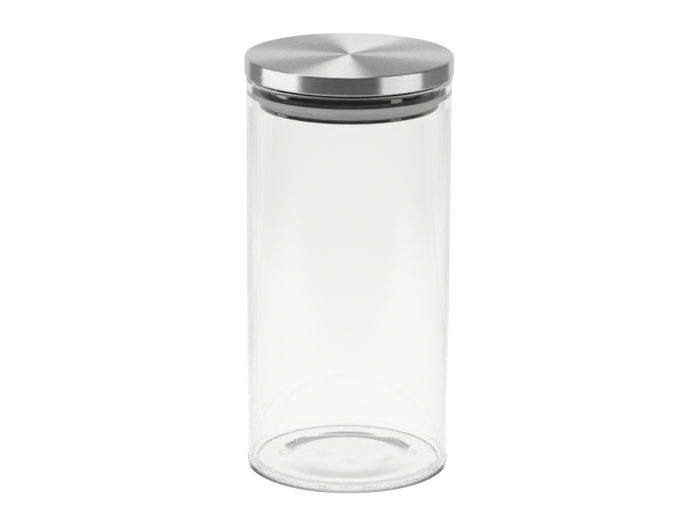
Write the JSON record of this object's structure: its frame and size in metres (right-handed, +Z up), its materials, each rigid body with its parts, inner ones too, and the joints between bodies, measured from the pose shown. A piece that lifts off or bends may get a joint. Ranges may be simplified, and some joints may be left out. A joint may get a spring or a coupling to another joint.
{
  "type": "lidded glass canister",
  "caption": "Tall straight-sided clear glass storage canister with a flat brushed steel push-in lid and a translucent silicone seal ring.",
  "frame": {"origin": "centre of the jar's foot, in the plane it stands on", "axes": "+Z up along the jar's axis, from the foot to the lid"},
  "size_m": [0.1018, 0.1018, 0.208],
  "materials": {
    "clear_glass": "clear, fire polished",
    "brushed_steel": "spin brushed",
    "polished_steel": "bright drawn",
    "silicone": "satin, translucent",
    "stiffener_plastic": "moulded"
  },
  "bodies": {
    "jar": {"glass_jar": "clear_glass"},
    "lid": {"lid_cap": "brushed_steel", "lid_stiffener": "stiffener_plastic", "lid_plug": "polished_steel", "bottom_plate": "polished_steel", "seal_ring": "silicone"}
  },
  "joints": [
    {"name": "lid_lift", "type": "slide", "parent": "jar", "child": "lid", "axis": [0, 0, 1], "range_m": [0, 0.06]}
  ]
}
